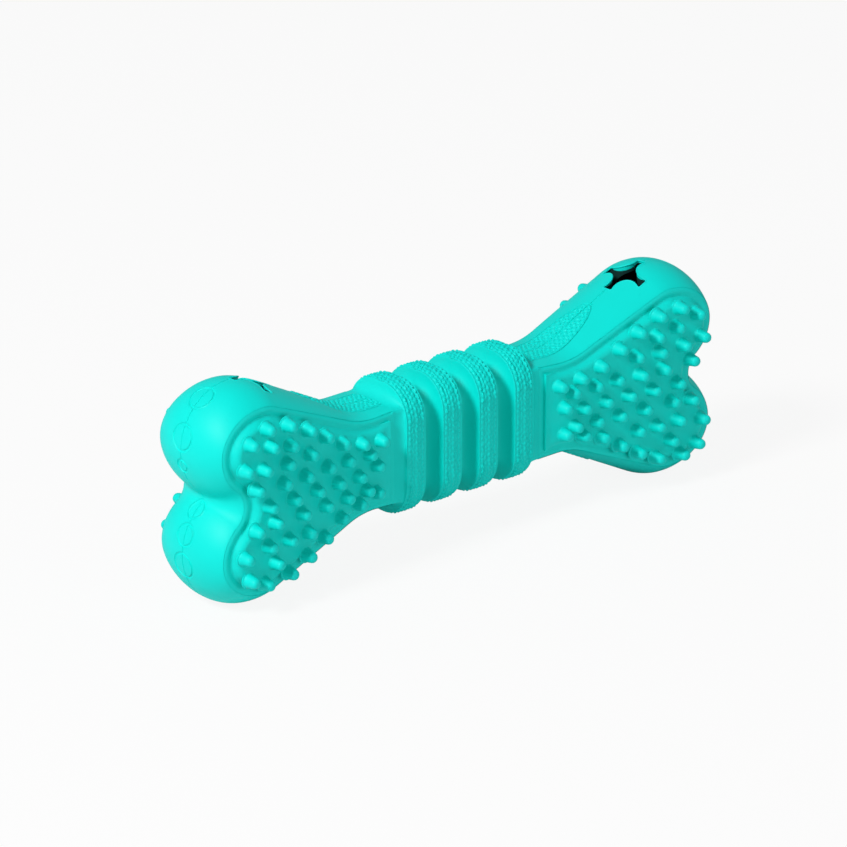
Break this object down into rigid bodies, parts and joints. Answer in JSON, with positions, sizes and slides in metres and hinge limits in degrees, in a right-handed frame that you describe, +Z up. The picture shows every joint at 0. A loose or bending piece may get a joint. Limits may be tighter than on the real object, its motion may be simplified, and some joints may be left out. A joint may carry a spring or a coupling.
{
  "type": "treat dispensing dog chew bone",
  "caption": "Flexible rubber chew bone with a ribbed waist, studded flat faces and a hollow treat pocket behind a star opening in each end.",
  "frame": {"origin": "centre of the bone's bounding box, midway between the two middle ribs, on the mould parting plane", "axes": "+X along the bone towards its right end, +Z up through the upper lobes, which hold the star openings, +Y to the rear studded face"},
  "size_m": [0.168, 0.0342, 0.0574],
  "materials": {
    "shell_rubber": "moulded turquoise natural rubber, satin, smooth",
    "stud_rubber": "moulded turquoise natural rubber, satin, with moulded studs",
    "rib_rubber": "moulded turquoise natural rubber, satin, fine hide grain on the rib bands",
    "web_rubber": "moulded turquoise natural rubber, satin, smooth"
  },
  "bodies": {
    "left_end": {"left_front_shell": "shell_rubber", "left_rear_shell": "shell_rubber", "left_front_stud_pad": "stud_rubber", "left_rear_stud_pad": "stud_rubber", "rib_1": "rib_rubber", "web_1": "web_rubber"},
    "second_rib": {"rib_2": "rib_rubber", "web_2": "web_rubber"},
    "third_rib": {"rib_3": "rib_rubber", "web_3": "web_rubber"},
    "right_end": {"rib_4": "rib_rubber", "right_front_shell": "shell_rubber", "right_rear_shell": "shell_rubber", "right_front_stud_pad": "stud_rubber", "right_rear_stud_pad": "stud_rubber"}
  },
  "joints": [
    {"name": "left_valley_flex", "type": "hinge", "parent": "left_end", "child": "second_rib", "pos_m": [-0.012, 0, 0], "axis": [0, 0, 1], "range_deg": [-6, 6], "stiffness_Nm_per_rad": 3, "deforming": ["web_1"]},
    {"name": "middle_valley_flex", "type": "hinge", "parent": "second_rib", "child": "third_rib", "pos_m": [0, 0, 0], "axis": [0, 1, 0], "range_deg": [-4, 4], "stiffness_Nm_per_rad": 9, "deforming": ["web_2"]},
    {"name": "right_valley_flex", "type": "hinge", "parent": "third_rib", "child": "right_end", "pos_m": [0.012, 0, 0], "axis": [0, 0, 1], "range_deg": [-6, 6], "stiffness_Nm_per_rad": 3, "deforming": ["web_3"]}
  ],
  "couplings": [
    {"joint": "right_valley_flex", "follows": "left_valley_flex", "ratio": 1}
  ]
}
